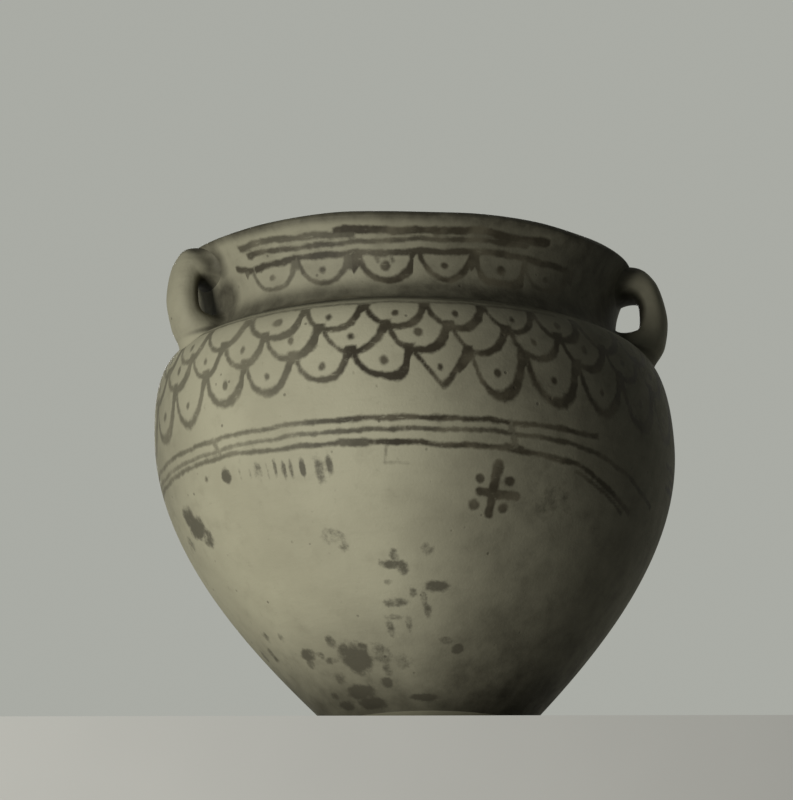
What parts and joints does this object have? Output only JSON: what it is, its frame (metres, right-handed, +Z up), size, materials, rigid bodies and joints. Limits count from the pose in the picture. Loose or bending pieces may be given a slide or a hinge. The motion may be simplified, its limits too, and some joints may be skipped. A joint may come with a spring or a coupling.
{
  "type": "handled painted pot",
  "caption": "Round-bellied hand-built pot with a small flat base, drawn-in neck, wide flared mouth and loop handles from rim to shoulder.",
  "frame": {"origin": "middle of the flat base, on the surface that the pot stands on", "axes": "+Z up through the mouth, -Y the painted front as pictured, +X to the right, where the right handle is"},
  "size_m": [0.2203, 0.22, 0.2036],
  "materials": {
    "plain_clay": "smoothed unglazed earthenware",
    "painted_clay": "burnished earthenware painted in dark slip",
    "handle_clay": "smoothed unglazed earthenware"
  },
  "bodies": {
    "root": {"base_disc": "plain_clay", "foot_course": "plain_clay", "lower_wall_course": "plain_clay", "belly_course": "painted_clay", "shoulder_course": "painted_clay", "neck_course": "painted_clay", "rim_course": "painted_clay", "left_handle": "handle_clay", "right_handle": "handle_clay"}
  },
  "joints": []
}
